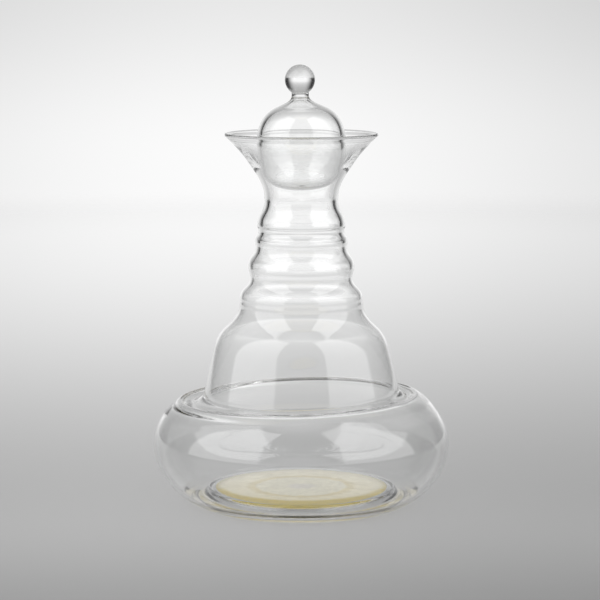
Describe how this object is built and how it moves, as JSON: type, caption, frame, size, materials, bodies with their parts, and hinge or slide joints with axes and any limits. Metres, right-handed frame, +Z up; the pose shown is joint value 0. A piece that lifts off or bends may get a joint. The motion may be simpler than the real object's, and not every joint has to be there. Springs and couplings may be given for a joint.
{
  "type": "glass carafe",
  "caption": "Clear blown glass carafe with a wide low bowl, a ringed bell-shaped neck and a flared mouth, closed by a loose hollow glass ball stopper.",
  "frame": {"origin": "on the table, under the middle of the foot ring", "axes": "+Z up along the axis of the glass; -Y faces the viewer of the reference view, with +X to the right"},
  "size_m": [0.17, 0.17, 0.2516],
  "materials": {
    "clear_glass": "clear, blown, polished by fire",
    "stopper_glass": "clear, blown, polished by fire",
    "gold_print": "pale gold fired print, slightly mottled"
  },
  "bodies": {
    "carafe": {"carafe_body": "clear_glass", "base_print": "gold_print"},
    "stopper": {"stopper_bulb": "stopper_glass", "stopper_knob": "stopper_glass"}
  },
  "joints": [
    {"name": "stopper_lift", "type": "slide", "parent": "carafe", "child": "stopper", "axis": [0, 0, 1], "range_m": [0, 0.07]}
  ]
}
